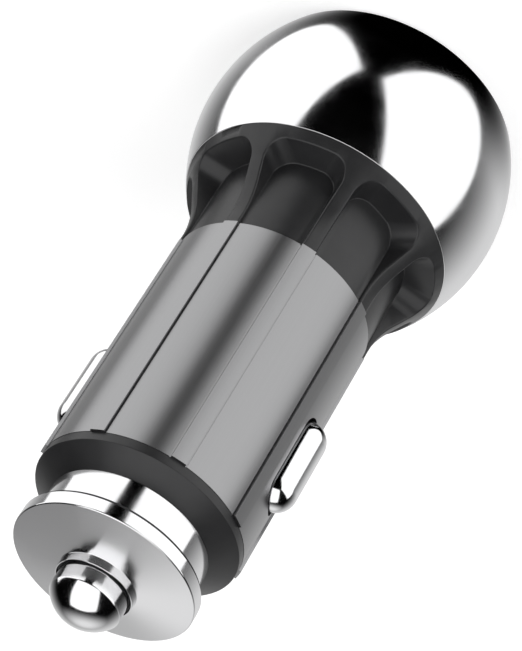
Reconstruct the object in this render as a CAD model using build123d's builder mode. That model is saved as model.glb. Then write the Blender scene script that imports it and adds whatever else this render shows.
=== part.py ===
from build123d import *
import os
from math import acos, asin, cos, degrees, hypot, radians, sin, sqrt

os.makedirs("parts", exist_ok=True)

# The plug stands on its flat socket face. The origin is the centre of that face,
# +Z runs along the plug to the contact tip, and the side contacts lie on the X axis.

# Head
dome_radius = 15.73
dome_widest = 8.96
face_radius = 13.5
face_rim = 0.9
rim_radius = 13.76
dome_wall = 1.4
dome_edge = 0.3
panel_recess = 0.25
panel_thickness = 2.0

# Flared collar, moulded in one piece with the tube that fills the sleeve
collar_step = 0.07
collar_rise = 0.2
collar_length = 10.15
flare_length = 6.9
flare_bend = 9.0
rib_count = 8
rib_width = 1.5
pocket_sink = 0.4
pocket_corner = 2.0
pocket_edge = 0.2
flange_thickness = 1.1
spigot_length = 1.45
core_wall = 1.05

# Sleeve
sleeve_radius = 10.2
sleeve_wall = 0.85
sleeve_length = 27.35
strip_rise = 0.25
slot_width = 4.5
slot_length = 10.6
slot_corner = 1.9
slot_bevel = 0.15
slot_from_sleeve_end = 10.35

# End ring and nose
ring_step = 0.03
ring_band = 0.94
ring_cone = 1.5
ring_spigot = 3.0
ring_wall = 1.1
neck_step = 0.9
neck_length = 3.58
disc_radius = 8.95
disc_rim = 1.44
disc_rise = 0.98
disc_edge = 0.12
boss_wall = 0.16
boss_height = 0.87
flange_room = 0.8
nose_roof = 1.6

# Contact tip
tip_radius = 3.45
tip_reach = 1.75
tip_ball = 3.975
tip_flange_radius = 4.5
tip_flange = 1.2
tip_travel = 2.0
bush_lip = 0.22
bush_collar = 3.2
bush_drop = 0.25
tip_wire = 0.55
tip_coil_radius = 2.9
tip_coil_turns = 4

# Side contacts
contact_rise = 1.8
contact_corner = 1.9
contact_bevel = 1.25
contact_travel = 1.5
contact_flange = 0.8
contact_flange_margin = 0.55
contact_flange_reach = 0.9
contact_spigot_radius = 1.05
contact_spigot = 0.8
side_wire = 0.4
side_coil_radius = 1.5
side_coil_turns = 3

# Carrier and ground bridge between the side contacts
carrier_height = 12.5
bridge_sheet = 0.4
bridge_span = 6.0
bridge_height = 3.8
bridge_tail_width = 2.4
bridge_overlap = 4.4

# Sockets
socket_width = 13.1
socket_height = 5.7
socket_sheet = 0.3
socket_depth = 13.85
socket_recess = 0.8
socket_spacing = 10.4
tongue_width = 11.1
tongue_thickness = 1.84
tongue_recess = 1.5
tongue_offset = 0.85
socket_block = 4.0
pin_thickness = 0.2
pin_places = ((-3.5, 1.0), (-1.0, 1.0), (1.0, 1.0), (3.5, 1.0))
pin_length = 6.4

# Circuit boards and what they carry
board_thickness = 1.2
main_board_offset = 2.0
header_pitch = 2.54
header_pin = 0.64
header_length = 3.4
coil_block = 7.0
coil_block_height = 4.4
coil_block_corner = 0.6
can_radius = 3.15
can_length = 8.0
can_gap = 0.7
chip_length = 4.9
chip_width = 3.9
chip_height = 1.5
lead_radius = 0.6

# Clearances
fit = 0.05
slip = 0.1
slot_gap = 0.2
board_gap = 0.35
running = 0.04

# Heights along the plug
socket_board_z = socket_recess + socket_depth + fit
spigot_z = socket_board_z + board_thickness + fit
rim_z = spigot_z + spigot_length
sleeve_z = rim_z + collar_length
ring_z = sleeve_z + sleeve_length
neck_z = ring_z + ring_band + ring_cone
disc_z = neck_z + neck_length
cone_z = disc_z + disc_rim
boss_z = cone_z + disc_rise
nose_z = boss_z + boss_height
crease_z = nose_z + tip_reach
contact_z = ring_z - slot_from_sleeve_end

# Radii that follow from the walls and clearances
panel_radius = face_radius - face_rim
core_radius = sleeve_radius - sleeve_wall - slip
core_bore = core_radius - core_wall
collar_radius = sleeve_radius + collar_rise
pocket_radius = collar_radius - pocket_sink
ring_radius = sleeve_radius - ring_step
shank_radius = core_bore - ring_wall - 2 * fit
neck_radius = shank_radius + neck_step
cavity_radius = tip_flange_radius + flange_room
bush_radius = tip_radius + running + bush_lip
boss_radius = bush_radius + fit + boss_wall


def finish(builder, name):
    """Name a finished piece and write it out."""
    builder.part.label = name
    export_step(builder.part, f"parts/{name}.step")


def bulge(end_radius, rise):
    """Radius of the arc that leaves the widest place upright and ends at end_radius after rise."""
    narrowing = dome_radius - end_radius
    return (narrowing**2 + rise**2) / (2 * narrowing)


# Dome shell: a thin bright shell with a flat rim at the face and an open mouth at the collar.
# One arc runs from the widest place down to the face and one up to the collar.
face_bulge = bulge(face_radius, dome_widest)
rim_bulge = bulge(rim_radius, rim_z - dome_widest)
face_centre = (dome_radius - face_bulge, dome_widest)
rim_centre = (dome_radius - rim_bulge, dome_widest)
seat_radius = panel_radius + fit
seat_turn = degrees(acos((seat_radius - face_centre[0]) / (face_bulge - dome_wall)))
face_turn = degrees(asin(dome_widest / face_bulge))
rim_turn = degrees(asin((rim_z - dome_widest) / rim_bulge))
mouth_turn = degrees(asin((rim_z - dome_widest) / (rim_bulge - dome_wall)))
with BuildPart() as dome_shell:
    with BuildSketch(Plane.XZ):
        with BuildLine():
            outside = CenterArc(face_centre, face_bulge, -face_turn, face_turn)
            CenterArc(rim_centre, rim_bulge, 0, rim_turn)
            inside = CenterArc(face_centre, face_bulge - dome_wall, -seat_turn, seat_turn)
            mouth = CenterArc(rim_centre, rim_bulge - dome_wall, 0, mouth_turn)
            Line((rim_radius, rim_z), mouth @ 1)
            Polyline(inside @ 0, (seat_radius, 0), outside @ 0)
        make_face()
    revolve(axis=Axis.Z)
    fillet(dome_shell.edges().group_by(Axis.Z)[0].sort_by(SortBy.RADIUS)[-1], dome_edge)
spigot_radius = (mouth @ 1).X - slip
finish(dome_shell, "dome_shell")


# Port panel: the dark plate across the face, with a window round each socket
with BuildPart() as port_panel:
    with BuildSketch(Plane.XY.offset(panel_recess)):
        Circle(panel_radius)
        with GridLocations(0, socket_spacing, 1, 2):
            Rectangle(socket_width + 2 * fit, socket_height + 2 * fit, mode=Mode.SUBTRACT)
    extrude(amount=panel_thickness)
finish(port_panel, "port_panel")


# Sockets: folded steel shell, moulded tongue and four flat contacts, two of each
for side, name in ((1, "a"), (-1, "b")):
    socket_y = side * socket_spacing / 2
    tongue_y = socket_y + side * tongue_offset
    block_z = socket_recess + socket_depth - socket_block

    with BuildPart() as usb_shell:
        with BuildSketch(Plane.XY.offset(socket_recess)):
            with Locations((0, socket_y)):
                Rectangle(socket_width, socket_height)
                Rectangle(
                    socket_width - 2 * socket_sheet,
                    socket_height - 2 * socket_sheet,
                    mode=Mode.SUBTRACT,
                )
        extrude(amount=socket_depth)
    finish(usb_shell, f"usb_shell_{name}")

    with BuildPart() as usb_tongue:
        with BuildSketch(Plane.XY.offset(block_z)):
            with Locations((0, socket_y)):
                Rectangle(
                    socket_width - 2 * socket_sheet - 2 * fit,
                    socket_height - 2 * socket_sheet - 2 * fit,
                )
        extrude(amount=socket_block)
        with BuildSketch(Plane.XY.offset(socket_recess + tongue_recess)):
            with Locations((0, tongue_y)):
                Rectangle(tongue_width, tongue_thickness)
        extrude(amount=block_z - socket_recess - tongue_recess)
    finish(usb_tongue, f"usb_tongue_{name}")

    with BuildPart() as usb_pins:
        with BuildSketch(Plane.XY.offset(block_z - pin_length)):
            for place, width in pin_places:
                pin_y = tongue_y - side * (tongue_thickness + pin_thickness) / 2
                with Locations((place, pin_y)):
                    Rectangle(width, pin_thickness)
        extrude(amount=pin_length)
    finish(usb_pins, f"usb_pins_{name}")


# Socket board: the round board that the sockets stand on
with BuildPart() as socket_board:
    with BuildSketch(Plane.XY.offset(socket_board_z)):
        Circle(spigot_radius - slot_gap)
    extrude(amount=board_thickness)
finish(socket_board, "socket_board")


# Pocket between two ribs: its walls run parallel to the ribs, and its far corners are round
rib_angle = 180 / rib_count
pocket_z = rim_z + flange_thickness
wedge_x = rib_width / 2 / sin(radians(rib_angle))
wedge_reach = 2 * rim_radius
with BuildPart() as pocket:
    with BuildSketch(Plane.XY.offset(pocket_z)):
        Circle(rim_radius + dome_wall)
        Circle(pocket_radius, mode=Mode.SUBTRACT)
        Polygon(
            (wedge_x, 0),
            (wedge_x + wedge_reach * cos(radians(rib_angle)), wedge_reach * sin(radians(rib_angle))),
            (wedge_x + wedge_reach * cos(radians(rib_angle)), -wedge_reach * sin(radians(rib_angle))),
            align=None,
            mode=Mode.INTERSECT,
        )
    extrude(amount=collar_length)
    fillet(
        pocket.faces().sort_by(Axis.Z)[0].edges().filter_by(GeomType.LINE),
        pocket_corner,
    )


def clear_of_floor(edge):
    """True for an edge whose two ends both lie further out than the floor of the pockets."""
    return all(hypot(end.X, end.Y) > pocket_radius + fit for end in (edge @ 0, edge @ 1))


# Barrel body: flared collar with its ribs, the spigot in the dome and the tube in the sleeve.
# The mouths of its pockets are rounded, apart from where they run out at the sleeve.
with BuildPart() as barrel_body:
    with BuildSketch(Plane.XZ) as body_profile:
        with BuildLine():
            Polyline(
                (core_bore, spigot_z),
                (spigot_radius, spigot_z),
                (spigot_radius, rim_z),
                (rim_radius - collar_step, rim_z),
                (collar_radius, rim_z + flare_length),
                (collar_radius, sleeve_z),
                (core_radius, sleeve_z),
                (core_radius, ring_z - fit),
                (core_bore, ring_z - fit),
                close=True,
            )
        make_face()
        bend = body_profile.vertices().sort_by_distance((collar_radius, rim_z + flare_length))[0]
        fillet(bend, flare_bend)
    revolve(axis=Axis.Z)
    with PolarLocations(0, rib_count):
        add(pocket.part, mode=Mode.SUBTRACT)
    mouths = barrel_body.edges().filter_by_position(Axis.Z, pocket_z - fit, sleeve_z - fit)
    mouths = mouths.filter_by(clear_of_floor)
    across_ribs = mouths.filter_by(GeomType.CIRCLE).filter_by_position(
        Axis.Z, pocket_z + pocket_corner, sleeve_z
    )
    fillet(mouths - across_ribs, pocket_edge)
    with BuildSketch(Plane.YZ):
        with Locations((0, contact_z)):
            RectangleRounded(slot_width, slot_length, slot_corner)
    extrude(amount=sleeve_radius, both=True, mode=Mode.SUBTRACT)
finish(barrel_body, "barrel_body")


def at_slot_mouth(edge):
    """True for an edge of a slot on the sleeve's outer skin."""
    places = [edge @ share for share in (0, 0.5, 1)]
    on_skin = all(abs(hypot(place.X, place.Y) - sleeve_radius) < fit for place in places)
    return on_skin and all(abs(place.Z - contact_z) < slot_length / 2 + fit for place in places)


# Sleeve: drawn aluminium tube, with a raised strip in line with each rib and a slot each side.
# The outer edge of each slot is bevelled.
with BuildPart() as barrel_sleeve:
    with BuildSketch(Plane.XY.offset(sleeve_z)):
        Circle(sleeve_radius)
        with PolarLocations(0, rib_count, start_angle=rib_angle):
            Rectangle(sleeve_radius + strip_rise, rib_width, align=(Align.MIN, Align.CENTER))
        Circle(sleeve_radius - sleeve_wall, mode=Mode.SUBTRACT)
    extrude(amount=sleeve_length)
    with BuildSketch(Plane.YZ):
        with Locations((0, contact_z)):
            RectangleRounded(slot_width, slot_length, slot_corner)
    extrude(amount=2 * sleeve_radius, both=True, mode=Mode.SUBTRACT)
    chamfer(barrel_sleeve.edges().filter_by(at_slot_mouth), slot_bevel)
finish(barrel_sleeve, "barrel_sleeve")


# End ring: black ring that closes the sleeve, with a spigot inside the tube
with BuildPart() as end_ring:
    with BuildSketch(Plane.XZ):
        with BuildLine():
            Polyline(
                (shank_radius + fit, ring_z - ring_spigot),
                (core_bore - fit, ring_z - ring_spigot),
                (core_bore - fit, ring_z),
                (ring_radius, ring_z),
                (ring_radius, ring_z + ring_band),
                (neck_radius, neck_z),
                (shank_radius + fit, neck_z),
                close=True,
            )
        make_face()
    revolve(axis=Axis.Z)
finish(end_ring, "end_ring")


# Nose cap: turned and plated, with a straight neck, a broad disc, a shallow cone and a small boss
roof_z = nose_z - boss_height - nose_roof
shank_z = contact_z + carrier_height / 2 + fit + bridge_sheet + 2 * slot_gap
with BuildPart() as nose_cap:
    with BuildSketch(Plane.XZ) as nose_profile:
        with BuildLine():
            Polyline(
                (cavity_radius, shank_z),
                (shank_radius, shank_z),
                (shank_radius, neck_z + fit),
                (neck_radius, neck_z + fit),
                (neck_radius, disc_z),
                (disc_radius, disc_z),
                (disc_radius, cone_z),
                (boss_radius, boss_z),
                (boss_radius, nose_z),
                (bush_radius + fit, nose_z),
                (bush_radius + fit, roof_z),
                (cavity_radius, roof_z),
                close=True,
            )
        make_face()
        fillet(nose_profile.vertices().sort_by_distance((disc_radius, cone_z))[0], disc_edge)
    revolve(axis=Axis.Z)
finish(nose_cap, "nose_cap")


# Tip bush: the black sleeve that keeps the contact tip clear of the nose
bush_z = roof_z - fit - bush_collar
with BuildPart() as tip_bush:
    with BuildSketch(Plane.XZ):
        with BuildLine():
            Polyline(
                (tip_radius + running, bush_z),
                (cavity_radius - fit, bush_z),
                (cavity_radius - fit, roof_z - fit),
                (bush_radius, roof_z - fit),
                (bush_radius, nose_z - bush_drop),
                (tip_radius + running, nose_z - bush_drop),
                close=True,
            )
        make_face()
    revolve(axis=Axis.Z)
finish(tip_bush, "tip_bush")


# Contact tip: straight pin with a ball end and a flange that stops behind the bush
ball_z = crease_z - sqrt(tip_ball**2 - tip_radius**2)
flange_z = bush_z - fit - tip_flange
with BuildPart() as contact_tip:
    with BuildSketch(Plane.XZ):
        with BuildLine():
            Polyline(
                (0, ball_z + tip_ball),
                (0, flange_z),
                (tip_flange_radius, flange_z),
                (tip_flange_radius, flange_z + tip_flange),
                (tip_radius, flange_z + tip_flange),
                (tip_radius, crease_z),
            )
            RadiusArc((tip_radius, crease_z), (0, ball_z + tip_ball), -tip_ball)
        make_face()
    revolve(axis=Axis.Z)
finish(contact_tip, "contact_tip")


# Carrier: moulded block between the side contacts, with a tunnel for their springs
pad_width = slot_width - 2 * slot_gap
flange_half = pad_width / 2 + contact_flange_margin
flange_top = sqrt((core_bore - slot_gap) ** 2 - flange_half**2)
flange_back = flange_top - contact_flange
carrier_depth = 2 * (flange_back - contact_travel - slot_gap)
carrier_width = 2 * sqrt((core_bore - slot_gap) ** 2 - (carrier_depth / 2) ** 2)
carrier_z = contact_z - carrier_height / 2
bridge_y = main_board_offset - fit
tunnel = bridge_height + 2 * slot_gap
lead_y = main_board_offset + board_thickness + lead_radius + fit
with BuildPart() as contact_carrier:
    with BuildSketch(Plane.XY.offset(carrier_z)):
        Rectangle(carrier_depth, carrier_width)
    extrude(amount=carrier_height)
    with BuildSketch(Plane.YZ):
        with Locations((bridge_y + slot_gap, contact_z)):
            Rectangle(tunnel, tunnel, align=(Align.MAX, Align.CENTER))
    extrude(amount=carrier_depth, both=True, mode=Mode.SUBTRACT)
    with BuildSketch(Plane.XY.offset(carrier_z)):
        with Locations((0, bridge_y + slot_gap)):
            Rectangle(
                bridge_tail_width + 2 * slot_gap,
                bridge_sheet + 2 * slot_gap,
                align=(Align.CENTER, Align.MAX),
            )
    extrude(amount=carrier_height / 2, mode=Mode.SUBTRACT)
    with BuildSketch(Plane.XY.offset(carrier_z)):
        with Locations((0, lead_y)):
            Circle(lead_radius + slot_gap)
    extrude(amount=carrier_height, mode=Mode.SUBTRACT)
finish(contact_carrier, "contact_carrier")


# Ground bridge: folded brass strip, an ear behind each spring and a tail on the main board
board_top_z = carrier_z - 2 * slot_gap
with BuildPart() as ground_bridge:
    with BuildSketch(Plane.XY.offset(contact_z - bridge_height / 2)):
        with Locations((0, bridge_y)):
            Rectangle(bridge_span, bridge_height, align=(Align.CENTER, Align.MAX))
        with Locations((0, bridge_y - bridge_sheet)):
            Rectangle(
                bridge_span - 2 * bridge_sheet,
                bridge_height,
                align=(Align.CENTER, Align.MAX),
                mode=Mode.SUBTRACT,
            )
    extrude(amount=bridge_height)
    with BuildSketch(Plane.XY.offset(board_top_z - bridge_overlap)):
        with Locations((0, bridge_y)):
            Rectangle(bridge_tail_width, bridge_sheet, align=(Align.CENTER, Align.MAX))
    extrude(amount=contact_z - board_top_z + bridge_overlap)
finish(ground_bridge, "ground_bridge")


# Tip terminal: brass disc on the carrier, with a stud that centres the spring and stops the tip
terminal_z = carrier_z + carrier_height + fit
terminal_top = terminal_z + bridge_sheet
with BuildPart() as tip_terminal:
    with BuildSketch(Plane.XY.offset(terminal_z)):
        Circle(tip_flange_radius)
    extrude(amount=bridge_sheet)
    with BuildSketch(Plane.XY.offset(terminal_top)):
        Circle(tip_coil_radius - tip_wire / 2 - slot_gap)
    extrude(amount=flange_z - tip_travel - slot_gap - terminal_top)
finish(tip_terminal, "tip_terminal")


def coil_spring(name, base, length, radius, wire, turns):
    """An open coil spring that stands on base and fills length, with room at both ends."""
    pitch = (length - wire - 2 * fit) / turns
    with BuildPart() as spring:
        with BuildLine():
            start = base.offset(wire / 2 + fit).origin
            path = Helix(pitch, pitch * turns, radius, center=start, direction=base.z_dir)
        with BuildSketch(Plane(origin=path @ 0, z_dir=path % 0)):
            Circle(wire / 2)
        sweep(is_frenet=True)
    finish(spring, name)


coil_spring(
    "tip_spring",
    Plane.XY.offset(terminal_top),
    flange_z - terminal_top,
    tip_coil_radius,
    tip_wire,
    tip_coil_turns,
)


# Side contacts: plated blocks with bevelled edges, each on a flange inside the tube
pad_top = sleeve_radius + contact_rise
pad_length = slot_length - 2 * slot_gap
for side, name in ((1, "right"), (-1, "left")):
    with BuildPart() as ground_contact:
        with BuildSketch(Plane.XZ) as pad_profile:
            with Locations((side * flange_top, contact_z)):
                Rectangle(
                    pad_top - flange_top,
                    pad_length,
                    align=(Align.MIN if side > 0 else Align.MAX, Align.CENTER),
                )
            corners = pad_profile.vertices().group_by(Axis.X)[-1 if side > 0 else 0]
            fillet(corners, contact_corner)
        extrude(amount=pad_width / 2, both=True)
        flanks = ground_contact.faces().filter_by(Axis.Y).edges()
        root = flanks.filter_by_position(Axis.X, side * flange_top - fit, side * flange_top + fit)
        chamfer([edge for edge in flanks if edge not in root], contact_bevel)
        with BuildSketch(Plane.YZ.offset(side * flange_back)):
            with Locations((0, contact_z)):
                Rectangle(2 * flange_half, pad_length + 2 * contact_flange_reach)
        extrude(amount=side * contact_flange)
        with BuildSketch(Plane.YZ.offset(side * flange_back)):
            with Locations((0, contact_z)):
                Circle(contact_spigot_radius)
        extrude(amount=-side * contact_spigot)
    finish(ground_contact, f"ground_contact_{name}")

    coil_spring(
        f"ground_spring_{name}",
        Plane(origin=(side * bridge_span / 2, 0, contact_z), z_dir=(side, 0, 0)),
        flange_back - bridge_span / 2,
        side_coil_radius,
        side_wire,
        side_coil_turns,
    )


# Main board: the long board that stands in the tube, edge on to the walls
main_board_z = socket_board_z + board_thickness + slip
board_reach = sqrt(core_bore**2 - (main_board_offset + board_thickness) ** 2) - board_gap
with BuildPart() as main_board:
    with BuildSketch(Plane.XY.offset(main_board_z)):
        with Locations((0, main_board_offset)):
            Rectangle(2 * board_reach, board_thickness, align=(Align.CENTER, Align.MIN))
    extrude(amount=board_top_z - main_board_z)
finish(main_board, "main_board")


# Header pins: they join the two boards
header_z = socket_board_z + board_thickness + fit
with BuildPart() as header_pins:
    with BuildSketch(Plane.XY.offset(header_z)):
        with Locations((0, main_board_offset - fit - header_pin / 2)):
            with GridLocations(header_pitch, 0, 4, 1):
                Rectangle(header_pin, header_pin)
    extrude(amount=header_length)
finish(header_pins, "header_pins")


# Inductor: square wound block on the front of the main board
front_y = main_board_offset - fit
inductor_z = header_z + header_length + 2 * slot_gap
with BuildPart() as inductor:
    with BuildSketch(Plane.XZ.offset(-front_y)):
        with Locations((0, inductor_z + coil_block / 2)):
            RectangleRounded(coil_block, coil_block, coil_block_corner)
    extrude(amount=coil_block_height)
finish(inductor, "inductor")


# Smoothing capacitors: two cans that lie side by side along the board
can_z = inductor_z + coil_block + 2 * slot_gap
for side, name in ((-1, "capacitor_in"), (1, "capacitor_out")):
    with BuildPart() as capacitor:
        with BuildSketch(Plane.XY.offset(can_z)):
            with Locations((side * (can_radius + can_gap / 2), front_y - can_radius)):
                Circle(can_radius)
        extrude(amount=can_length)
    finish(capacitor, name)


# Control chip: moulded body with a row of legs each side, on the back of the board
back_y = main_board_offset + board_thickness + fit
chip_z = inductor_z + coil_block / 2
leg = chip_height / 4
with BuildPart() as control_chip:
    with BuildSketch(Plane.XZ.offset(-back_y - leg)):
        with Locations((0, chip_z)):
            Rectangle(chip_width, chip_length)
    extrude(amount=-chip_height)
    with BuildSketch(Plane.XZ.offset(-back_y)):
        with Locations((0, chip_z)):
            with GridLocations(chip_width + 2 * leg, chip_length / 4, 2, 4):
                Rectangle(4 * leg, leg)
    extrude(amount=-2 * leg)
finish(control_chip, "control_chip")


# Tip lead: the wire from the main board up through the carrier to the terminal
with BuildPart() as tip_lead:
    with BuildSketch(Plane.XY.offset(board_top_z - bridge_overlap)):
        with Locations((0, lead_y)):
            Circle(lead_radius)
    extrude(amount=terminal_z - fit - board_top_z + bridge_overlap)
finish(tip_lead, "tip_lead")
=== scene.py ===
from math import acos, asin, cos, pi, radians, sin, tau

import bmesh
import bpy
from mathutils import Matrix, Vector


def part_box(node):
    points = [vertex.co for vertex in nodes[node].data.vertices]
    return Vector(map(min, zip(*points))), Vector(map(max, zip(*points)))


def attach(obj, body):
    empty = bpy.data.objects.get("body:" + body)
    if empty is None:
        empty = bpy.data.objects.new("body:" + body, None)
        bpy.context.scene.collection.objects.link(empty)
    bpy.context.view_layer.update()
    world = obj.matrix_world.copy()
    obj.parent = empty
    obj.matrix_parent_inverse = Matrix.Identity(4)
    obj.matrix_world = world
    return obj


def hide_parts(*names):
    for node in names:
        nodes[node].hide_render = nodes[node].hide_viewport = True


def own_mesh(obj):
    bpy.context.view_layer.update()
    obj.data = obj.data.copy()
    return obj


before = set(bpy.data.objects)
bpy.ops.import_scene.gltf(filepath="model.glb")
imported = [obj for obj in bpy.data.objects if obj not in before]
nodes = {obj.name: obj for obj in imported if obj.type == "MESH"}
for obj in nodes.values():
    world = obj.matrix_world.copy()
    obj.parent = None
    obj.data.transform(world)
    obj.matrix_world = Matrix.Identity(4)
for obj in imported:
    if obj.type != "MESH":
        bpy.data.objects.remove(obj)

mm = 0.001
scene = bpy.context.scene
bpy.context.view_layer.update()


# Camera: a long lens above and in front of the nose, at the photograph's viewing angle. It is
# rolled over so that the plug lies across the picture, with its tip at the lower left.
camera_place = Vector((74.739, 207.436, 192.202)) * mm
look_azimuth = radians(160.3)
look_down = radians(36.28)
camera_roll = radians(-148.42)
camera = bpy.data.objects.new("camera", bpy.data.cameras.new("camera"))
camera.data.lens = 160.35
camera.data.clip_start = 0.02
camera.matrix_world = (
    Matrix.Translation(camera_place)
    @ Matrix.Rotation(look_azimuth, 4, "Z")
    @ Matrix.Rotation(pi / 2 - look_down, 4, "X")
    @ Matrix.Rotation(camera_roll, 4, "Z")
)
scene.collection.objects.link(camera)
scene.camera = camera
scene.view_settings.view_transform = "Standard"


# Room light: an even pale room. The camera and clear reflections see it white, and what it sheds on
# the plug is a little over half of that.
room_level = 0.58
world = bpy.data.worlds.new("pale room")
world.use_nodes = True
scene.world = world
tree = world.node_tree
seen = tree.nodes.new("ShaderNodeLightPath")
mirrored = tree.nodes.new("ShaderNodeMath")
mirrored.operation = "MAXIMUM"
tree.links.new(seen.outputs["Is Glossy Ray"], mirrored.inputs[0])
tree.links.new(seen.outputs["Is Transmission Ray"], mirrored.inputs[1])
shown_white = tree.nodes.new("ShaderNodeMath")
shown_white.operation = "MAXIMUM"
tree.links.new(seen.outputs["Is Camera Ray"], shown_white.inputs[0])
tree.links.new(mirrored.outputs[0], shown_white.inputs[1])
strength = tree.nodes.new("ShaderNodeMapRange")
strength.inputs["To Min"].default_value = room_level
tree.links.new(shown_white.outputs[0], strength.inputs["Value"])
tree.links.new(strength.outputs[0], tree.nodes["Background"].inputs["Strength"])
tree.nodes["Background"].inputs["Color"].default_value = (1, 1, 1, 1)


# Lamps: one large soft lamp over the nose and a weaker one from the other side, both wide and
# plain. The bright plating mirrors the white panels below and not these.
plug_middle = Vector((0, 0, 35)) * mm


def soft_lamp(name, place, size, power):
    """A square lamp that faces the plug."""
    lamp = bpy.data.objects.new(name, bpy.data.lights.new(name, "AREA"))
    lamp.data.size = size
    lamp.data.energy = power
    lamp.location = place
    lamp.rotation_euler = (plug_middle - Vector(place)).to_track_quat("-Z", "Y").to_euler()
    lamp.visible_glossy = False
    lamp.visible_camera = False
    scene.collection.objects.link(lamp)


soft_lamp("key lamp", (0.9, 0.7, 1.3), 0.9, 11.0)
soft_lamp("fill lamp", (-1.1, 0.3, 0.7), 0.8, 4.0)


def stage_mesh(name, bm, material):
    """A piece of the studio, which isn't part of the plug."""
    mesh = bpy.data.meshes.new(name)
    bm.to_mesh(mesh)
    bm.free()
    mesh.materials.append(material)
    thing = bpy.data.objects.new(name, mesh)
    scene.collection.objects.link(thing)
    return thing


# Floor: a broad white sweep under the flat socket face. The camera sees it white, apart from the
# plug's own soft shadow on it.
floor_colour = (0.82, 0.82, 0.82, 1)
floor_glow = 0.4
floor_radius = 4.0
floor_finish = bpy.data.materials.new("white sweep")
floor_finish.use_nodes = True
tree = floor_finish.node_tree
shader = tree.nodes["Principled BSDF"]
shader.inputs["Base Color"].default_value = floor_colour
shader.inputs["Roughness"].default_value = 0.9
shader.inputs["Specular IOR Level"].default_value = 0.0
seen = tree.nodes.new("ShaderNodeLightPath")
glow = tree.nodes.new("ShaderNodeMapRange")
glow.inputs["To Max"].default_value = floor_glow
tree.links.new(seen.outputs["Is Camera Ray"], glow.inputs["Value"])
tree.links.new(glow.outputs[0], shader.inputs["Emission Strength"])
shader.inputs["Emission Color"].default_value = (1, 1, 1, 1)
bm = bmesh.new()
bmesh.ops.create_circle(bm, cap_ends=True, segments=64, radius=floor_radius)
floor = stage_mesh("floor", bm, floor_finish)
floor.visible_glossy = False


# Softboxes: three flat white panels that the plating mirrors, one each side of the nose and one
# overhead. Each is given by the directions of its corners, seen from the plug, and the lowest
# corners are rounded.
panel_distance = 3.0
panel_glow = 1.25
panel_corner = 0.5
panel_rounded_below = -0.7 * panel_distance
panel_finish = bpy.data.materials.new("softbox panel")
panel_finish.use_nodes = True
tree = panel_finish.node_tree
tree.nodes.remove(tree.nodes["Principled BSDF"])
light = tree.nodes.new("ShaderNodeEmission")
light.inputs["Strength"].default_value = panel_glow
tree.links.new(light.outputs[0], tree.nodes["Material Output"].inputs["Surface"])


def direction(azimuth, elevation):
    """The unit vector at an azimuth from +X and an elevation, both in degrees."""
    a, e = radians(azimuth), radians(elevation)
    return Vector((cos(a) * cos(e), sin(a) * cos(e), sin(e)))


def in_mirrors_only(thing):
    """Clear reflections show this piece of the studio, and nothing else does."""
    thing.visible_camera = False
    thing.visible_diffuse = False
    thing.visible_shadow = False
    thing.visible_transmission = False


def softbox(name, *corners):
    """A flat panel between corners given as azimuth and elevation."""
    bm = bmesh.new()
    for corner in corners:
        bm.verts.new(plug_middle + panel_distance * direction(*corner))
    bmesh.ops.contextual_create(bm, geom=bm.verts[:])
    bmesh.ops.bevel(
        bm,
        geom=[v for v in bm.verts if v.co.z < panel_rounded_below],
        offset=panel_corner,
        segments=8,
        profile=0.5,
        affect="VERTICES",
        material=-1,
    )
    in_mirrors_only(stage_mesh(name, bm, panel_finish))


softbox("right softbox", (352, 15), (352, -67), (85, -37), (52, 15))
softbox("left softbox", (187, 12), (187, -58), (100.5, -37), (123, 12))
softbox("overhead softbox", (56, 23), (122, 25), (201, 60.5), (339, 58))


# Black tent: cloth all round the softboxes, black except behind the plug. There a painted glow
# makes a pale back wall, standing for light that spills on it in a round pool and a low broad one.
tent_distance = 3.3
high_pool = (270, 34)
high_pool_inner = 4
high_pool_outer = 45
high_pool_glow = 0.84
low_pool = (268, -33)
low_pool_inner = 20
low_pool_outer = 88
low_pool_glow = 0.70
hem_dark = radians(-68)
hem_lit = radians(-40)
# The cloth's own colour is black; its pools of light are painted on as glow.
tent_cloth_and_painted_light = bpy.data.materials.new("tent cloth and painted light")
tent_cloth_and_painted_light.use_nodes = True
tree = tent_cloth_and_painted_light.node_tree
tree.nodes.remove(tree.nodes["Principled BSDF"])
place = tree.nodes.new("ShaderNodeTexCoord")
outward = tree.nodes.new("ShaderNodeVectorMath")
outward.operation = "NORMALIZE"
tree.links.new(place.outputs["Object"], outward.inputs[0])


def pool(centre, inner, outer, glow):
    """Painted light on the cloth, even to the inner angle from its centre and gone at the outer
    one.
    """
    toward = tree.nodes.new("ShaderNodeVectorMath")
    toward.operation = "DOT_PRODUCT"
    toward.inputs[1].default_value = direction(*centre)
    tree.links.new(outward.outputs["Vector"], toward.inputs[0])
    away = tree.nodes.new("ShaderNodeMath")
    away.operation = "ARCCOSINE"
    tree.links.new(toward.outputs["Value"], away.inputs[0])
    spill = tree.nodes.new("ShaderNodeMapRange")
    spill.interpolation_type = "SMOOTHSTEP"
    spill.inputs["From Min"].default_value = radians(outer)
    spill.inputs["From Max"].default_value = radians(inner)
    spill.inputs["To Max"].default_value = glow
    tree.links.new(away.outputs[0], spill.inputs["Value"])
    return spill.outputs[0]


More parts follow.
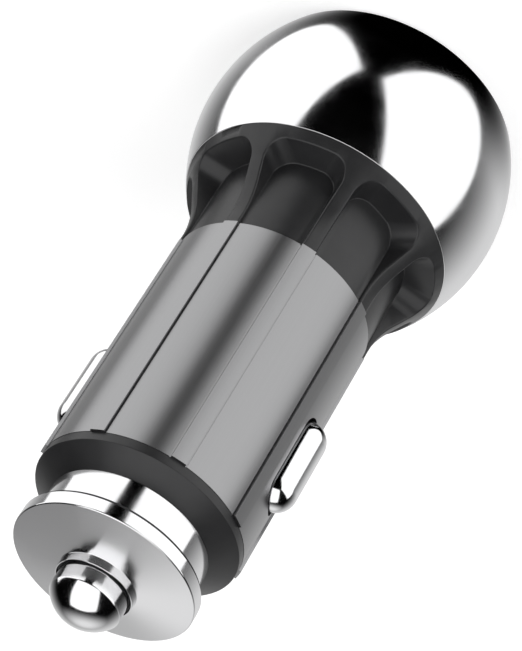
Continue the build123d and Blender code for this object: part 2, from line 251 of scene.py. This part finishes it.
height = tree.nodes.new("ShaderNodeSeparateXYZ")
tree.links.new(outward.outputs["Vector"], height.inputs[0])
above_hem = tree.nodes.new("ShaderNodeMapRange")
above_hem.interpolation_type = "SMOOTHSTEP"
above_hem.inputs["From Min"].default_value = sin(hem_dark)
above_hem.inputs["From Max"].default_value = sin(hem_lit)
tree.links.new(height.outputs["Z"], above_hem.inputs["Value"])
low_light = tree.nodes.new("ShaderNodeMath")
low_light.operation = "MULTIPLY"
low_spill = pool(low_pool, low_pool_inner, low_pool_outer, low_pool_glow)
high_spill = pool(high_pool, high_pool_inner, high_pool_outer, high_pool_glow)
tree.links.new(low_spill, low_light.inputs[0])
tree.links.new(above_hem.outputs[0], low_light.inputs[1])
both = tree.nodes.new("ShaderNodeMath")
both.operation = "MAXIMUM"
tree.links.new(low_light.outputs[0], both.inputs[0])
tree.links.new(high_spill, both.inputs[1])
light = tree.nodes.new("ShaderNodeEmission")
tree.links.new(both.outputs[0], light.inputs["Strength"])
tree.links.new(light.outputs[0], tree.nodes["Material Output"].inputs["Surface"])
tent_cloth_and_painted_light.cycles.emission_sampling = "NONE"
bm = bmesh.new()
bmesh.ops.create_icosphere(bm, subdivisions=4, radius=tent_distance)
in_mirrors_only(stage_mesh("tent", bm, tent_cloth_and_painted_light))


# Head: a thin steel dome, spun to shape, polished and bright plated. One arc runs from its widest
# place down to the socket face and one up to the mouth that holds the collar.
dome_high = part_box("dome_shell")[1]
dome_radius = dome_high.x
rim_z = dome_high.z
dome_widest = 8.96 * mm
face_radius = 13.5 * mm
rim_radius = 13.76 * mm
dome_wall = 1.4 * mm
seat_radius = 12.65 * mm
face_edge = 0.3 * mm
rim_edge = 0.03 * mm
seat_edge = 0.1 * mm
fine_weld = 1e-7
speck = 1e-8
noise_low = 0.3
noise_high = 0.7


def new_finish(name, colour, metallic=0.0, roughness=0.5):
    """A material with its plain values set on the shader, and its node tree and shader."""
    material = bpy.data.materials.new(name)
    material.use_nodes = True
    shader = material.node_tree.nodes["Principled BSDF"]
    shader.inputs["Base Color"].default_value = (*colour, 1)
    shader.inputs["Metallic"].default_value = metallic
    shader.inputs["Roughness"].default_value = roughness
    return material, material.node_tree, shader


def grain(tree, size, detail=2.0, stretch=(1, 1, 1)):
    """Noise on the piece's own coordinates, with grains about this size, longer where stretched."""
    place = tree.nodes.new("ShaderNodeTexCoord")
    scaled = tree.nodes.new("ShaderNodeMapping")
    scaled.inputs["Scale"].default_value = [1 / (size * s) for s in stretch]
    noise = tree.nodes.new("ShaderNodeTexNoise")
    noise.inputs["Scale"].default_value = 1.0
    noise.inputs["Detail"].default_value = detail
    tree.links.new(place.outputs["Object"], scaled.inputs["Vector"])
    tree.links.new(scaled.outputs["Vector"], noise.inputs["Vector"])
    return noise.outputs["Fac"]


def vary(tree, source, low, high, socket):
    """Drive a socket between two values with the middle of a noise."""
    spread = tree.nodes.new("ShaderNodeMapRange")
    spread.inputs["From Min"].default_value = noise_low
    spread.inputs["From Max"].default_value = noise_high
    spread.inputs["To Min"].default_value = low
    spread.inputs["To Max"].default_value = high
    tree.links.new(source, spread.inputs["Value"])
    tree.links.new(spread.outputs[0], socket)


def tint(tree, source, dark, light, socket):
    """Drive a colour between two near shades with the middle of a noise."""
    ramp = tree.nodes.new("ShaderNodeValToRGB")
    ramp.color_ramp.elements[0].position = noise_low
    ramp.color_ramp.elements[1].position = noise_high
    ramp.color_ramp.elements[0].color = (*dark, 1)
    ramp.color_ramp.elements[1].color = (*light, 1)
    tree.links.new(source, ramp.inputs["Fac"])
    tree.links.new(ramp.outputs["Color"], socket)


bright_plate, tree, shader = new_finish("bright plate", (0.88, 0.88, 0.89), 1.0, 0.1)
vary(tree, grain(tree, 3.0 * mm, 3.0), 0.10, 0.15, shader.inputs["Roughness"])
haze = grain(tree, 9.0 * mm)
tint(tree, haze, (0.86, 0.86, 0.87), (0.90, 0.90, 0.91), shader.inputs["Base Color"])


def bulge(end_radius, rise):
    """Radius of the arc that leaves the widest place upright and ends at end_radius after rise."""
    narrowing = dome_radius - end_radius
    return (narrowing**2 + rise**2) / (2 * narrowing)


def swept(bm, start, centre, angle, steps):
    """Points of an arc: one corner is turned about a centre, in the profile's own plane."""
    first = bm.verts.new(start)
    bmesh.ops.spin(bm, geom=[first], cent=centre, axis=(0, 1, 0), angle=angle, steps=steps)
    bm.verts.ensure_lookup_table()
    return bm.verts[-steps - 1:]


def join(bm, *points):
    """Edges from point to point."""
    for a, b in zip(points, points[1:]):
        bm.edges.new((a, b))


def soften(bm, points, width, steps=3):
    """Round these corners of a profile."""
    bmesh.ops.bevel(
        bm,
        geom=points,
        offset=width,
        offset_type="OFFSET",
        segments=steps,
        profile=0.5,
        affect="VERTICES",
        material=-1,
    )


def piece(name, bm, material, body, stands_for, crease=32):
    """A finished piece: it rides on its body and stands for its CAD node. An edge is sharp where it
    turns by more than the crease angle."""
    mesh = bpy.data.meshes.new(name)
    bm.to_mesh(mesh)
    bm.free()
    mesh.shade_smooth()
    mesh.set_sharp_from_angle(angle=radians(crease))
    mesh.materials.append(material)
    made = bpy.data.objects.new(name, mesh)
    scene.collection.objects.link(made)
    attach(made, body)
    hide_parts(stands_for)
    return made


def keep_flat(made):
    """Flats stay flat up to their rounded edges. The modifier can't weigh areas as small as these,
    so the mesh is in millimetres until it has run."""
    made.data.transform(Matrix.Scale(1 / mm, 4))
    flats = made.modifiers.new("flats", "WEIGHTED_NORMAL")
    flats.keep_sharp = True
    weighed = made.evaluated_get(bpy.context.evaluated_depsgraph_get())
    mesh = bpy.data.meshes.new_from_object(weighed)
    mesh.transform(Matrix.Scale(mm, 4))
    made.modifiers.clear()
    made.data = mesh


def turn(bm, steps=192, centre=(0, 0, 0), axis=(0, 0, 1)):
    """Turn the profile right round an axis, the plug's own where no other is given, into a closed
    skin with its faces outwards."""
    bmesh.ops.spin(
        bm,
        geom=bm.verts[:] + bm.edges[:],
        cent=centre,
        axis=axis,
        angle=tau,
        steps=steps,
        use_merge=True,
    )
    bmesh.ops.remove_doubles(bm, verts=bm.verts[:], dist=fine_weld)
    bmesh.ops.dissolve_degenerate(bm, edges=bm.edges[:], dist=speck)
    bmesh.ops.recalc_face_normals(bm, faces=bm.faces[:])


face_bulge = bulge(face_radius, dome_widest)
rim_bulge = bulge(rim_radius, rim_z - dome_widest)
face_centre = Vector((dome_radius - face_bulge, 0, dome_widest))
rim_centre = Vector((dome_radius - rim_bulge, 0, dome_widest))
widest = Vector((dome_radius, 0, dome_widest))
inner_widest = Vector((dome_radius - dome_wall, 0, dome_widest))
face_turn = asin(dome_widest / face_bulge)
rim_turn = asin((rim_z - dome_widest) / rim_bulge)
inner_bulge = face_bulge - dome_wall
seat_turn = acos((seat_radius - face_centre.x) / inner_bulge)
mouth_turn = asin((rim_z - dome_widest) / (rim_bulge - dome_wall))

bm = bmesh.new()
lower = swept(bm, widest, face_centre, face_turn, 28)
upper = swept(bm, widest, rim_centre, -rim_turn, 28)
inner_lower = swept(bm, inner_widest, face_centre, seat_turn, 20)
inner_upper = swept(bm, inner_widest, rim_centre, -mouth_turn, 20)
seat_corner = bm.verts.new((seat_radius, 0, 0))
join(bm, lower[-1], seat_corner, inner_lower[-1])
join(bm, upper[-1], inner_upper[-1])
face_corner = lower[-1]
rim_corner = upper[-1]
soften(bm, [face_corner], face_edge, 6)
soften(bm, [rim_corner], rim_edge)
soften(bm, [seat_corner], seat_edge)
turn(bm, 256)
dome = piece("dome", bm, bright_plate, "housing", "dome_shell")
keep_flat(dome)


# Collar: black glass-filled nylon, moulded with the tube inside the sleeve. It flares out to the
# dome, with ribs between deep pockets whose mouths are rounded.
def relief(tree, source, depth, shader, strength=1.0):
    """Raise the surface by a noise, to this depth in metres."""
    bump = tree.nodes.new("ShaderNodeBump")
    bump.inputs["Distance"].default_value = depth
    bump.inputs["Strength"].default_value = strength
    tree.links.new(source, bump.inputs["Height"])
    tree.links.new(bump.outputs["Normal"], shader.inputs["Normal"])


body_plastic, tree, shader = new_finish("moulded black nylon", (0.018, 0.018, 0.019), 0.0, 0.33)
speckle = grain(tree, 0.12 * mm, 4.0)
vary(tree, speckle, 0.30, 0.37, shader.inputs["Roughness"])
clouding = grain(tree, 2.5 * mm, 3.0)
tint(tree, clouding, (0.016, 0.016, 0.017), (0.021, 0.021, 0.022), shader.inputs["Base Color"])
relief(tree, speckle, 0.004 * mm, shader, 0.35)

pocket_floor = 10.0 * mm
pocket_foot = rim_z + 1.0 * mm
pocket_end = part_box("barrel_sleeve")[0].z
floor_fillet = 0.13 * mm
floor_angle = radians(25)
on_skin = 0.02 * mm
margin = 0.01 * mm
weld = 1e-6
same_face = radians(0.5)
bm = bmesh.new()
bm.from_mesh(nodes["barrel_body"].data)
bmesh.ops.remove_doubles(bm, verts=bm.verts[:], dist=weld)
bmesh.ops.dissolve_limit(bm, angle_limit=same_face, verts=bm.verts[:], edges=bm.edges[:])


def round_pocket_floor(edge):
    """True for an edge where a pocket's floor meets its walls."""
    for v in edge.verts:
        if abs(v.co.xy.length - pocket_floor) > on_skin:
            return False
        if not pocket_foot < v.co.z < pocket_end + margin:
            return False
    return edge.is_manifold and not edge.is_convex and edge.calc_face_angle(0) > floor_angle


def round_edges(bm, edges, width, steps=3, clamped=False):
    """Round these edges of a mesh, and where clamped never past their neighbours."""
    bmesh.ops.bevel(
        bm,
        geom=edges,
        offset=width,
        offset_type="OFFSET",
        segments=steps,
        profile=0.5,
        affect="EDGES",
        material=-1,
        clamp_overlap=clamped,
    )


round_edges(bm, [e for e in bm.edges if round_pocket_floor(e)], floor_fillet)
piece("collar", bm, body_plastic, "housing", "barrel_body", 36)


# Sleeve: a drawn aluminium tube, gunmetal anodised. A raised strip runs along it in line with each
# rib, with a fine line along each of its feet, and a slot each side lets a side contact through.
sleeve_low, sleeve_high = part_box("barrel_sleeve")
sleeve_radius = 10.2 * mm
sleeve_wall = 0.85 * mm
strip_count = 8
strip_width = 1.5 * mm
strip_rise = 0.25 * mm
line_width = 0.14 * mm
line_depth = 0.14 * mm
slot_width = 4.5 * mm
slot_length = 10.6 * mm
slot_corner = 1.9 * mm
slot_bevel = 0.15 * mm
mouth_angle = radians(50)
sleeve_edge = 0.085 * mm
corner_angle = radians(48)
corner_length = 0.2 * mm
slot_z = sleeve_high.z - 10.35 * mm
well_past = 4

gunmetal, tree, shader = new_finish("gunmetal anodising", (0.355, 0.355, 0.36), 1.0, 0.31)
drawn = grain(tree, 0.16 * mm, 3.0, (1, 1, 120))
vary(tree, drawn, 0.29, 0.33, shader.inputs["Roughness"])
tint(tree, drawn, (0.348, 0.348, 0.353), (0.362, 0.362, 0.367), shader.inputs["Base Color"])
relief(tree, drawn, 0.001 * mm, shader, 0.3)

strip_half = asin(strip_width / 2 / sleeve_radius)
line_half = strip_half + line_width / sleeve_radius
between_strips = tau / strip_count - 2 * line_half
bm = bmesh.new()
to_skin = Matrix.Rotation(-between_strips / 2, 3, "Z")
first = bm.verts.new(to_skin @ Vector((sleeve_radius, 0, sleeve_low.z)))
bmesh.ops.spin(bm, geom=[first], cent=(0, 0, 0), axis=(0, 0, -1), angle=-between_strips, steps=28)
bm.verts.ensure_lookup_table()
skin_end = bm.verts[-1]
to_strip = Matrix.Rotation(pi / strip_count, 3, "Z")
strip_top = sleeve_radius + strip_rise
strip_side = sleeve_radius * cos(strip_half)
top_half = asin(strip_width / 2 / strip_top)
to_top = to_strip @ Matrix.Rotation(-top_half, 3, "Z")
strip_a = bm.verts.new(to_top @ Vector((strip_top, 0, sleeve_low.z)))
bmesh.ops.spin(bm, geom=[strip_a], cent=(0, 0, 0), axis=(0, 0, -1), angle=-2 * top_half, steps=5)
bm.verts.ensure_lookup_table()
strip_b = bm.verts[-1]
line_floor = strip_side - line_depth
line_far = sleeve_radius * sin(line_half)
line_skin = sleeve_radius * cos(line_half)
line_a = bm.verts.new(to_strip @ Vector((line_floor, -line_far, sleeve_low.z)))
foot_a = bm.verts.new(to_strip @ Vector((line_floor, -strip_width / 2, sleeve_low.z)))
foot_b = bm.verts.new(to_strip @ Vector((line_floor, strip_width / 2, sleeve_low.z)))
line_b = bm.verts.new(to_strip @ Vector((line_floor, line_far, sleeve_low.z)))
next_skin = bm.verts.new(to_strip @ Vector((line_skin, line_far, sleeve_low.z)))
join(bm, skin_end, line_a, foot_a, strip_a)
join(bm, strip_b, foot_b, line_b, next_skin)
bmesh.ops.spin(
    bm,
    geom=bm.verts[:] + bm.edges[:],
    cent=(0, 0, 0),
    axis=(0, 0, 1),
    angle=tau * (strip_count - 1) / strip_count,
    steps=strip_count - 1,
    use_duplicate=True,
)
bmesh.ops.remove_doubles(bm, verts=bm.verts[:], dist=weld)
bmesh.ops.contextual_create(bm, geom=bm.edges[:])
up = bmesh.ops.extrude_face_region(bm, geom=bm.faces[:])
raised = [v for v in up["geom"] if isinstance(v, bmesh.types.BMVert)]
bmesh.ops.translate(bm, verts=raised, vec=(0, 0, sleeve_high.z - sleeve_low.z))
bmesh.ops.recalc_face_normals(bm, faces=bm.faces[:])


def loose(name, bm):
    """A plain object for the cut below. It is removed after it."""
    mesh = bpy.data.meshes.new(name)
    bm.to_mesh(mesh)
    bm.free()
    made = bpy.data.objects.new(name, mesh)
    scene.collection.objects.link(made)
    return made


blank = loose("sleeve blank", bm)
bm = bmesh.new()
bmesh.ops.create_cone(
    bm,
    cap_ends=True,
    segments=192,
    radius1=sleeve_radius - sleeve_wall,
    radius2=sleeve_radius - sleeve_wall,
    depth=well_past * sleeve_high.z,
)
bore_cutter = loose("bore cutter", bm)
bm = bmesh.new()
bmesh.ops.create_cube(bm, size=1.0)
bmesh.ops.scale(bm, verts=bm.verts[:], vec=(well_past * sleeve_radius, slot_width, slot_length))
bmesh.ops.translate(bm, verts=bm.verts[:], vec=(0, 0, slot_z))
crosswise = [e for e in bm.edges if abs(e.verts[0].co.x - e.verts[1].co.x) > sleeve_radius]
round_edges(bm, crosswise, slot_corner, 12)
slot_cutter = loose("slot cutter", bm)
for tool in (bore_cutter, slot_cutter):
    cut = blank.modifiers.new(tool.name, "BOOLEAN")
    cut.operation = "DIFFERENCE"
    cut.solver = "EXACT"
    cut.object = tool
bpy.context.view_layer.update()
slotted = blank.evaluated_get(bpy.context.evaluated_depsgraph_get())
bm = bmesh.new()
bm.from_mesh(slotted.to_mesh())
slotted.to_mesh_clear()
for thing in (blank, bore_cutter, slot_cutter):
    bpy.data.objects.remove(thing)


def on_slot_mouth(edge):
    """True for an edge round a slot on the sleeve's outer skin."""
    for v in edge.verts:
        if abs(v.co.xy.length - sleeve_radius) > on_skin:
            return False
        if abs(v.co.z - slot_z) > slot_length / 2 + margin or abs(v.co.y) > slot_width / 2 + margin:
            return False
    return edge.calc_face_angle(0) > mouth_angle


round_edges(bm, [e for e in bm.edges if on_slot_mouth(e)], slot_bevel, clamped=True)
long_edges = [e for e in bm.edges if e.calc_length() > corner_length]
corners = [e for e in long_edges if e.calc_face_angle(0) > corner_angle and e.is_convex]
round_edges(bm, corners, sleeve_edge, clamped=True)
sleeve = piece("sleeve", bm, gunmetal, "housing", "barrel_sleeve")
keep_flat(sleeve)


# End ring: black moulded ring that closes the sleeve. It has a short straight band and a cone up to
# the neck, and its spigot is glued in the tube.
ring_low, ring_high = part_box("end_ring")
ring_radius = ring_high.x
ring_z = sleeve_high.z
neck_z = ring_high.z
ring_band = 0.94 * mm
core_bore = 8.15 * mm
shank_hole = 7.0 * mm
neck_radius = 7.9 * mm
ring_edge = 0.06 * mm
seat_corner_edge = 0.05 * mm
bm = bmesh.new()
inside_low = bm.verts.new((shank_hole, 0, ring_low.z))
spigot_low = bm.verts.new((core_bore, 0, ring_low.z))
spigot_top = bm.verts.new((core_bore, 0, ring_z))
band_low = bm.verts.new((ring_radius, 0, ring_z))
band_top = bm.verts.new((ring_radius, 0, ring_z + ring_band))
cone_top = bm.verts.new((neck_radius, 0, neck_z))
inside_top = bm.verts.new((shank_hole, 0, neck_z))
join(bm, inside_low, spigot_low, spigot_top, band_low, band_top, cone_top, inside_top, inside_low)
soften(bm, [band_top], ring_edge, 4)
soften(bm, [band_low], seat_corner_edge, 2)
turn(bm)
end_ring = piece("black_end_ring", bm, body_plastic, "housing", "end_ring")
keep_flat(end_ring)


# Nose: one brass turning, bright plated. A straight neck carries a broad disc, whose shallow cone
# keeps the fine rings of its turning, and a small boss holds the tip's bush.
nose_low, nose_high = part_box("nose_cap")
disc_radius = nose_high.x
nose_z = nose_high.z
neck_step = 0.05 * mm
disc_z = neck_z + 3.58 * mm
cone_z = disc_z + 1.44 * mm
boss_z = cone_z + 0.98 * mm
boss_radius = 3.78 * mm
bush_hole = 3.69 * mm
roof_z = nose_z - 2.47 * mm
cavity_radius = 5.3 * mm
shank_radius = 6.95 * mm
disc_edge = 0.12 * mm
boss_edge = 0.03 * mm
boss_fillet = 0.06 * mm
disc_lip = 0.2 * mm
lip_chamfer = 0.3 * mm
lip_inset = 0.17 * mm
almost_up = 0.95

turned_plate, tree, shader = new_finish("turned and plated face", (0.86, 0.86, 0.87), 1.0, 0.16)
vary(tree, grain(tree, 3.0 * mm, 3.0), 0.15, 0.17, shader.inputs["Roughness"])
shader.inputs["Anisotropic"].default_value = 0.95
place = tree.nodes.new("ShaderNodeTexCoord")
across_rings = tree.nodes.new("ShaderNodeVectorMath")
across_rings.operation = "MULTIPLY"
across_rings.inputs[1].default_value = (1, 1, 0)
tree.links.new(place.outputs["Object"], across_rings.inputs[0])
in_world = tree.nodes.new("ShaderNodeVectorTransform")
in_world.vector_type = "VECTOR"
in_world.convert_from = "OBJECT"
in_world.convert_to = "WORLD"
tree.links.new(across_rings.outputs["Vector"], in_world.inputs[0])
tree.links.new(in_world.outputs[0], shader.inputs["Tangent"])

bm = bmesh.new()
cavity_low = bm.verts.new((cavity_radius, 0, nose_low.z))
shank_low = bm.verts.new((shank_radius, 0, nose_low.z))
shank_top = bm.verts.new((shank_radius, 0, neck_z + neck_step))
neck_low = bm.verts.new((neck_radius, 0, neck_z + neck_step))
neck_top = bm.verts.new((neck_radius, 0, disc_z - disc_lip))
lip_low = bm.verts.new((disc_radius - lip_inset, 0, disc_z - disc_lip))
disc_low = bm.verts.new((disc_radius, 0, disc_z - disc_lip + lip_chamfer))
disc_top = bm.verts.new((disc_radius, 0, cone_z))
boss_low = bm.verts.new((boss_radius, 0, boss_z))
boss_top = bm.verts.new((boss_radius, 0, nose_z))
hole_top = bm.verts.new((bush_hole, 0, nose_z))
hole_low = bm.verts.new((bush_hole, 0, roof_z))
cavity_top = bm.verts.new((cavity_radius, 0, roof_z))
join(bm, cavity_low, shank_low, shank_top, neck_low, neck_top, lip_low, disc_low)
join(bm, disc_low, disc_top, boss_low)
join(bm, boss_low, boss_top, hole_top, hole_low, cavity_top, cavity_low)
soften(bm, [disc_top], disc_edge, 6)
soften(bm, [boss_top], boss_edge, 4)
soften(bm, [boss_low], boss_fillet, 4)
turn(bm)
nose = piece("nose", bm, bright_plate, "housing", "nose_cap", 25)
nose.data.materials.append(turned_plate)
for face in nose.data.polygons:
    if cone_z < face.center.z < boss_z and face.normal.z > almost_up:
        face.material_index = 1
keep_flat(nose)


# Contact tip: a turned and plated brass pin with a ball end, which slides in its bush. The ball is
# wider than the pin, so a crisp crease runs round between them.
tip_low, tip_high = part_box("contact_tip")
tip_radius = 3.45 * mm
tip_ball = 3.975 * mm
tip_flange = 1.2 * mm
tip_flange_radius = tip_high.x
crease_edge = 0.05 * mm
flange_edge = 0.1 * mm
ball_centre = Vector((0, 0, tip_high.z - tip_ball))
crease_turn = asin(tip_radius / tip_ball)
bm = bmesh.new()
ball = swept(bm, (0, 0, tip_high.z), ball_centre, crease_turn, 24)
pin_low = bm.verts.new((tip_radius, 0, tip_low.z + tip_flange))
flange_top = bm.verts.new((tip_flange_radius, 0, tip_low.z + tip_flange))
flange_low = bm.verts.new((tip_flange_radius, 0, tip_low.z))
axis_low = bm.verts.new((0, 0, tip_low.z))
join(bm, ball[-1], pin_low, flange_top, flange_low, axis_low)
soften(bm, [ball[-1]], crease_edge)
soften(bm, [flange_top, flange_low], flange_edge)
turn(bm, 128)
tip = piece("tip_pin", bm, bright_plate, "tip", "contact_tip")
keep_flat(tip)


# Side contacts: pressed and plated capsules that stand out through the slots, half round in section
# and at both ends. A flange behind each keeps it in the tube.
contact_low, contact_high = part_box("ground_contact_right")
pad_radius = 2.05 * mm
pad_length = 10.2 * mm
pad_top = contact_high.x
pad_end = slot_z + pad_length / 2 - pad_radius
contact_flange = 0.8 * mm
contact_heel = 0.8 * mm
flange_reach = contact_high.z - slot_z
flange_half = contact_high.y
flange_back = contact_low.x + contact_heel
flange_front = flange_back + contact_flange
for side, name in ((1, "right"), (-1, "left")):
    bm = bmesh.new()
    crown = swept(bm, (pad_top, 0, pad_end), (pad_top - pad_radius, 0, pad_end), -pi / 2, 16)
    wall_foot = bm.verts.new((flange_front, 0, pad_end + pad_radius))
    middle_foot = bm.verts.new((flange_front, 0, pad_end))
    join(bm, crown[-1], wall_foot, middle_foot)
    turn(bm, 64, (0, 0, pad_end), (1, 0, 0))
    bmesh.ops.bisect_plane(
        bm,
        geom=bm.verts[:] + bm.edges[:] + bm.faces[:],
        dist=fine_weld,
        plane_co=(0, 0, pad_end),
        plane_no=(0, 0, 1),
        clear_inner=True,
    )
    down = bmesh.ops.extrude_edge_only(bm, edges=[e for e in bm.edges if e.is_boundary])
    lowered = [v for v in down["geom"] if isinstance(v, bmesh.types.BMVert)]
    bmesh.ops.translate(bm, verts=lowered, vec=(0, 0, slot_z - pad_end))
    other = bmesh.ops.duplicate(bm, geom=bm.verts[:] + bm.edges[:] + bm.faces[:])
    turned_over = [v for v in other["geom"] if isinstance(v, bmesh.types.BMVert)]
    from_slot = Matrix.Translation((0, 0, -slot_z))
    bmesh.ops.scale(bm, verts=turned_over, vec=(1, 1, -1), space=from_slot)
    bmesh.ops.remove_doubles(bm, verts=bm.verts[:], dist=weld)
    bmesh.ops.recalc_face_normals(bm, faces=bm.faces[:])
    flange = bmesh.ops.create_cube(bm, size=1.0)["verts"]
    bmesh.ops.scale(bm, verts=flange, vec=(contact_flange, 2 * flange_half, 2 * flange_reach))
    bmesh.ops.translate(bm, verts=flange, vec=(flange_back + contact_flange / 2, 0, slot_z))
    if side < 0:
        bmesh.ops.scale(bm, verts=bm.verts[:], vec=(-1, 1, 1))
        bmesh.ops.recalc_face_normals(bm, faces=bm.faces[:])
    body = "contact_" + name
    piece("side_contact_" + name, bm, bright_plate, body, "ground_contact_" + name)


# Tip bush: a thin black sleeve pressed in the boss, in which the tip slides. Its lip stands just
# below the boss, so that it shows as a dark ring.
bush_low, bush_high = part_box("tip_bush")
running_gap = 0.04 * mm
bush_bore = tip_radius + running_gap
bush_radius = 3.64 * mm
bush_collar_radius = bush_high.x
bush_collar_top = bush_low.z + 3.2 * mm
bush_drop = 0.25 * mm
bush_edge = 0.05 * mm
bm = bmesh.new()
bore_low = bm.verts.new((bush_bore, 0, bush_low.z))
collar_low = bm.verts.new((bush_collar_radius, 0, bush_low.z))
collar_top = bm.verts.new((bush_collar_radius, 0, bush_collar_top))
lip_low = bm.verts.new((bush_radius, 0, bush_collar_top))
lip_top = bm.verts.new((bush_radius, 0, nose_z - bush_drop))
bore_top = bm.verts.new((bush_bore, 0, nose_z - bush_drop))
join(bm, bore_low, collar_low, collar_top, lip_low, lip_top, bore_top, bore_low)
soften(bm, [lip_top, bore_top], bush_edge)
turn(bm, 128)
piece("black_tip_bush", bm, body_plastic, "housing", "tip_bush")


# Port panel and carrier: black parts, moulded in the same nylon as the collar. The panel is glued
# across the dome's flat face, and the carrier holds the side contacts inside the barrel.
def dress(material, *names):
    """Give CAD nodes that keep their own shape their real finish."""
    for name in names:
        nodes[name].data.materials.clear()
        nodes[name].data.materials.append(material)


dress(body_plastic, "port_panel", "contact_carrier")


# USB sockets: folded steel shells, nickel plated, round black moulded tongues with gilded brass
# contacts. The same brass makes the header pins, the bridge between the side contacts and the
# terminal. All are soldered or pressed in.
socket_steel, tree, shader = new_finish("nickel plated sheet", (0.62, 0.61, 0.59), 1.0, 0.25)
vary(tree, grain(tree, 0.3 * mm, 3.0, (1, 1, 12)), 0.2, 0.32, shader.inputs["Roughness"])
dress(socket_steel, "usb_shell_a", "usb_shell_b")
tongue_plastic, tree, shader = new_finish("socket tongue", (0.03, 0.03, 0.03), 0.0, 0.45)
vary(tree, grain(tree, 0.2 * mm, 3.0), 0.4, 0.52, shader.inputs["Roughness"])
dress(tongue_plastic, "usb_tongue_a", "usb_tongue_b")
contact_brass, tree, shader = new_finish("gilded brass", (0.85, 0.66, 0.32), 1.0, 0.25)
vary(tree, grain(tree, 0.4 * mm, 3.0), 0.2, 0.32, shader.inputs["Roughness"])
dress(contact_brass, "usb_pins_a", "usb_pins_b", "header_pins", "ground_bridge", "tip_terminal")


# Circuit boards: plates of glass cloth and resin with a green mask. One holds the sockets, and the
# other stands along the barrel.
board, tree, shader = new_finish("green solder mask", (0.012, 0.10, 0.04), 0.0, 0.3)
weave = grain(tree, 0.5 * mm, 4.0)
tint(tree, weave, (0.010, 0.085, 0.034), (0.015, 0.12, 0.05), shader.inputs["Base Color"])
dress(board, "socket_board", "main_board")


# Parts on the board: a pressed ferrite block, two drawn aluminium cans and a chip moulded in resin,
# all soldered to the main board.
ferrite, tree, shader = new_finish("ferrite", (0.06, 0.06, 0.065), 0.0, 0.6)
vary(tree, grain(tree, 0.15 * mm, 4.0), 0.5, 0.7, shader.inputs["Roughness"])
dress(ferrite, "inductor")
can_metal, tree, shader = new_finish("bare aluminium can", (0.75, 0.75, 0.77), 1.0, 0.3)
vary(tree, grain(tree, 0.2 * mm, 3.0, (1, 1, 10)), 0.25, 0.38, shader.inputs["Roughness"])
dress(can_metal, "capacitor_in", "capacitor_out")
chip_resin, tree, shader = new_finish("chip resin", (0.025, 0.025, 0.025), 0.0, 0.55)
vary(tree, grain(tree, 0.1 * mm, 4.0), 0.5, 0.65, shader.inputs["Roughness"])
dress(chip_resin, "control_chip")


# Springs: coiled from drawn steel wire. Each stands on a fixed seat in the barrel. The real ones
# shorten towards it as the pin or the side contact presses in, but these copies keep their length.
wire_crease = 60
spring_steel, tree, shader = new_finish("spring wire", (0.55, 0.55, 0.56), 1.0, 0.28)
vary(tree, grain(tree, 0.1 * mm, 3.0), 0.22, 0.36, shader.inputs["Roughness"])


def coil(node, axis):
    """A copy of a CAD spring, in spring wire, that takes the spring's place. The axis is not used."""
    bm = bmesh.new()
    bm.from_mesh(nodes[node].data)
    bmesh.ops.remove_doubles(bm, verts=bm.verts[:], dist=weld)
    wire = piece(node + "_wire", bm, spring_steel, "housing", node, wire_crease)
    axis = Vector(axis)
    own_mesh(wire)


coil("tip_spring", (0, 0, 1))
coil("ground_spring_right", (1, 0, 0))
coil("ground_spring_left", (-1, 0, 0))


# Tip lead: stranded copper wire in a red extruded cover, soldered between the main board and the
# tip's terminal.
lead_cover, tree, shader = new_finish("red wire cover", (0.4, 0.02, 0.02), 0.0, 0.45)
vary(tree, grain(tree, 0.3 * mm, 3.0), 0.38, 0.5, shader.inputs["Roughness"])
dress(lead_cover, "tip_lead")
